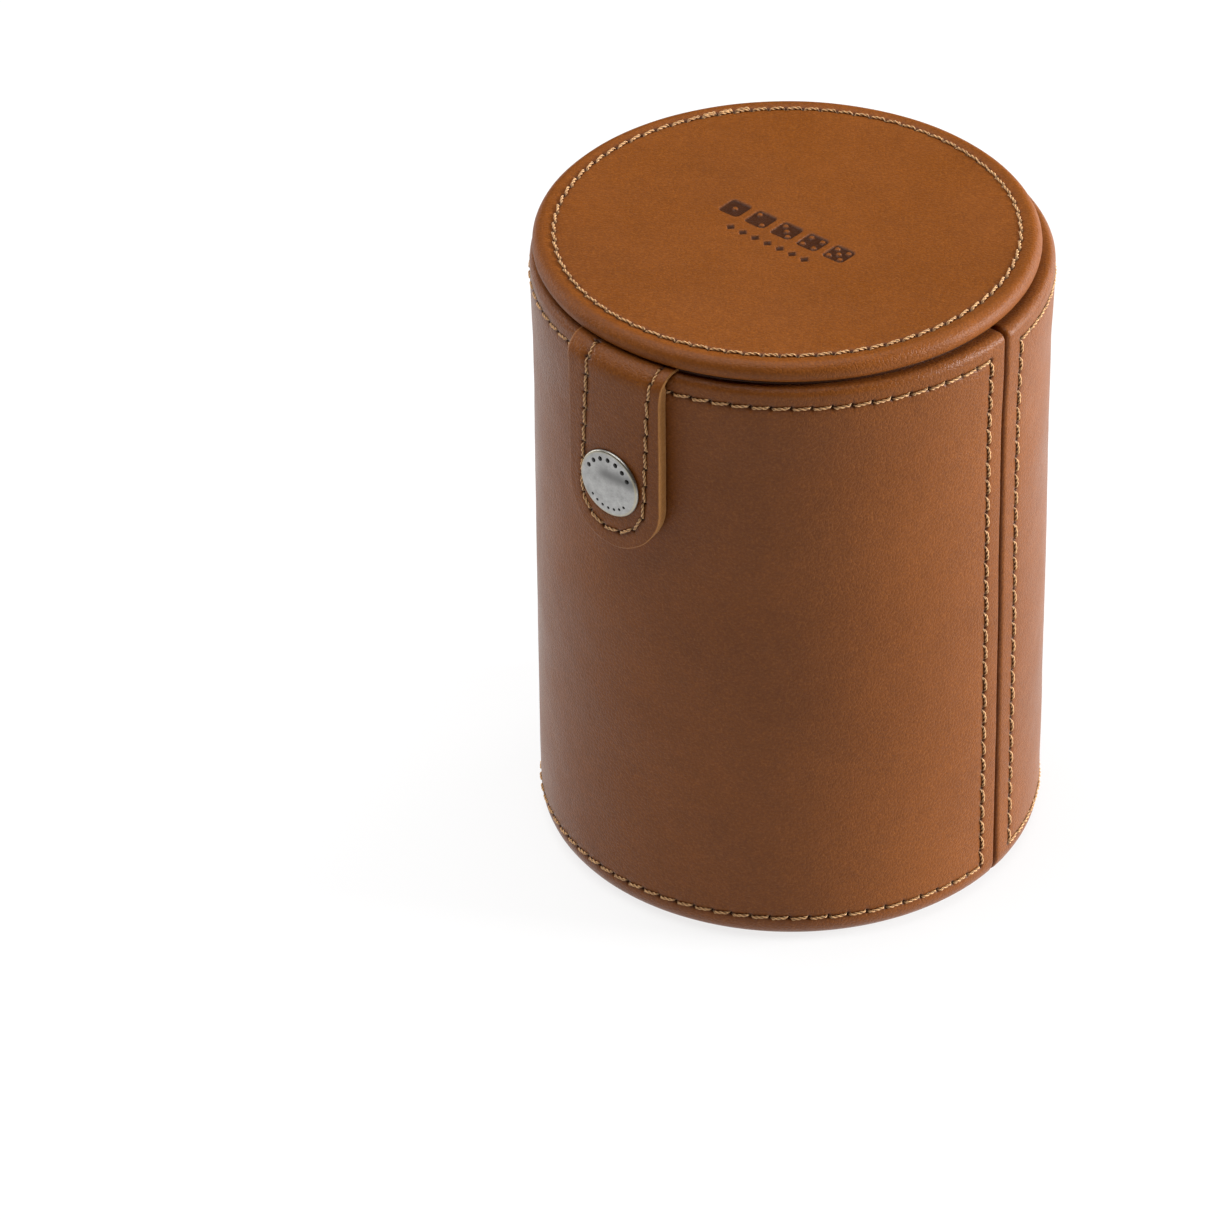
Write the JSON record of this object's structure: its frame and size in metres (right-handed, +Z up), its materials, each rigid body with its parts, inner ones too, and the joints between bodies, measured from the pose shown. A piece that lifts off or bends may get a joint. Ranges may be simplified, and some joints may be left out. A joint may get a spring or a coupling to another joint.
{
  "type": "leather dice cup",
  "caption": "Round leather dice cup with a hinged stitched lid, a snap tab that closes over the rim, and a suede-lined inside.",
  "frame": {"origin": "centre of the underside, on the surface the cup stands on", "axes": "+Z up along the cup's axis, -Y towards the snap tab, +Y towards the lid's hinge"},
  "size_m": [0.0896, 0.0941, 0.1193],
  "materials": {
    "leather": "oiled pull-up leather with a soft sheen",
    "suede": "napped suede",
    "board": "plain bookbinder's board",
    "foam": "closed-cell foam sheet",
    "thread": "waxed twisted thread",
    "nickel": "antique nickel",
    "spring_brass": "plain wire"
  },
  "bodies": {
    "cup": {"front_panel": "leather", "rear_panel": "leather", "core_tube": "board", "base_board": "board", "base_cover": "leather", "wall_lining": "suede", "floor_pad": "foam", "floor_lining": "suede", "front_panel_thread": "thread", "rear_panel_thread": "thread", "snap_stud": "nickel", "stud_rivet": "nickel", "hinge_strap": "leather", "hinge_thread": "thread"},
    "lid": {"lid_top_leather": "leather", "lid_board": "board", "lid_under_leather": "leather", "lid_lining": "suede", "lid_thread": "thread", "hinge_bend": "leather", "tab_bend": "leather"},
    "tab": {"tab_leather": "leather", "tab_lining": "leather", "tab_thread": "thread", "snap_cap": "nickel", "snap_socket": "nickel", "socket_spring": "spring_brass"}
  },
  "joints": [
    {"name": "lid_hinge", "type": "hinge", "parent": "cup", "child": "lid", "pos_m": [0, 0.0447, 0.1147], "axis": [-1, 0, 0], "range_deg": [0, 195], "deforming": ["hinge_bend"]},
    {"name": "tab_hinge", "type": "hinge", "parent": "lid", "child": "tab", "pos_m": [0, -0.0452, 0.114], "axis": [-1, 0, 0], "range_deg": [0, 110], "deforming": ["tab_bend"]}
  ]
}
